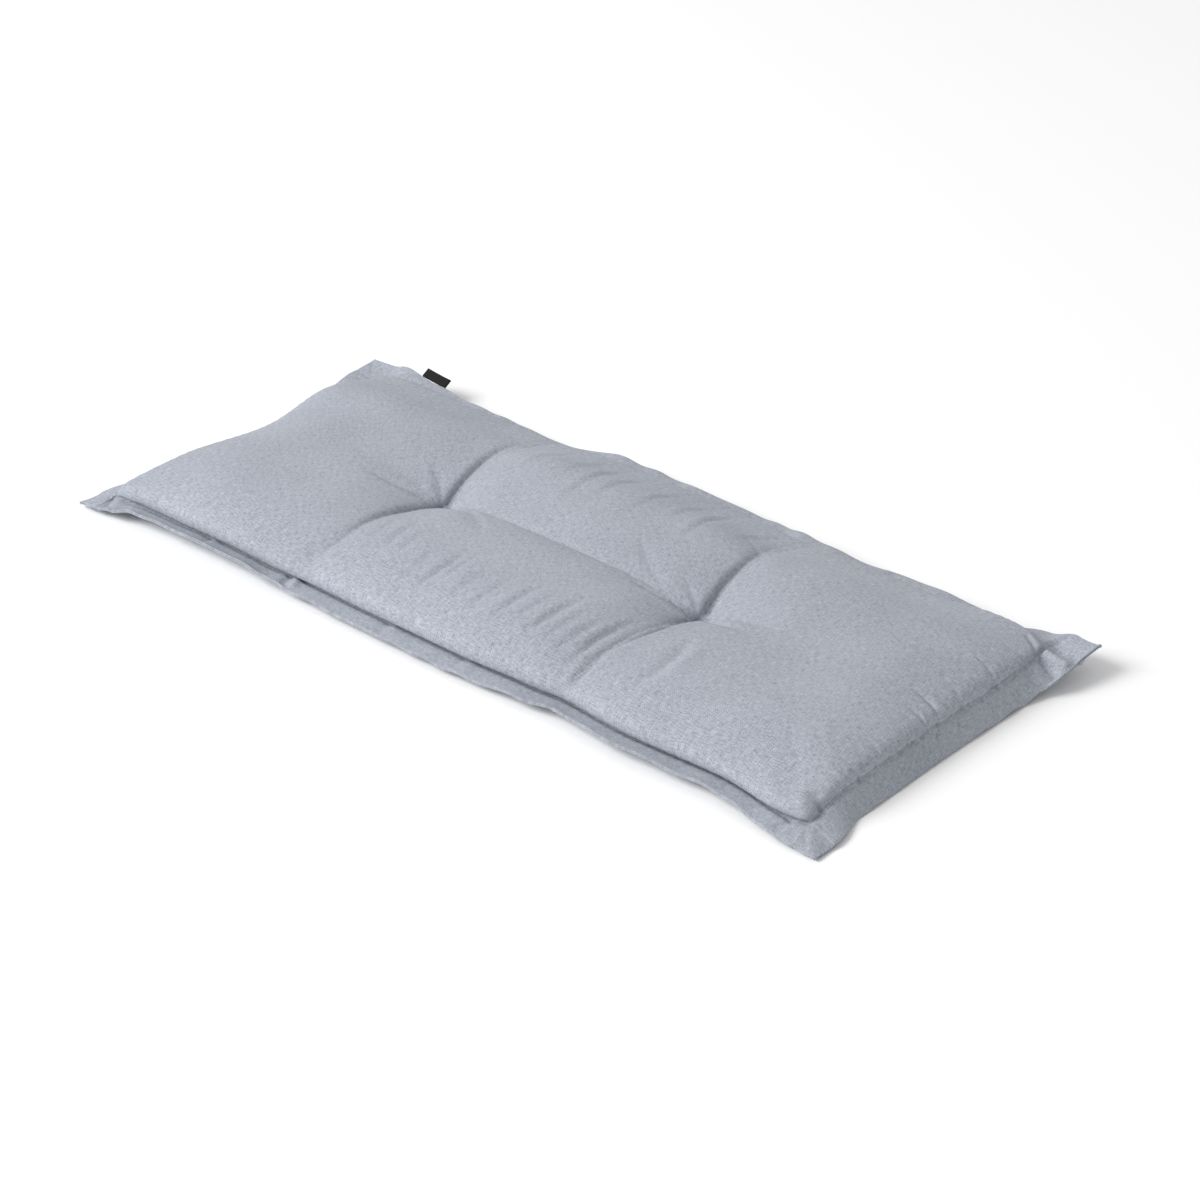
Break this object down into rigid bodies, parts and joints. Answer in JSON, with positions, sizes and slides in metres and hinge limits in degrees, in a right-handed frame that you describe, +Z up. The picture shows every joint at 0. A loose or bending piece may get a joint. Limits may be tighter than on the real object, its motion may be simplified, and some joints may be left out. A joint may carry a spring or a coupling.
{
  "type": "bench cushion",
  "caption": "Long filled bench cushion with a flat stitched border, tufted valleys across the pad and a small folded tape label on one edge.",
  "frame": {"origin": "under the middle of the cushion, on the surface it lies on", "axes": "+X along the length, towards the end whose border hangs to the surface; +Y across, towards the long edge with the label; +Z up"},
  "size_m": [1.1008, 0.486, 0.0677],
  "materials": {
    "cloth": "matt, slubby plain weave",
    "tape": "matt woven tape"
  },
  "bodies": {
    "root": {"cushion": "cloth", "label": "tape"}
  },
  "joints": []
}
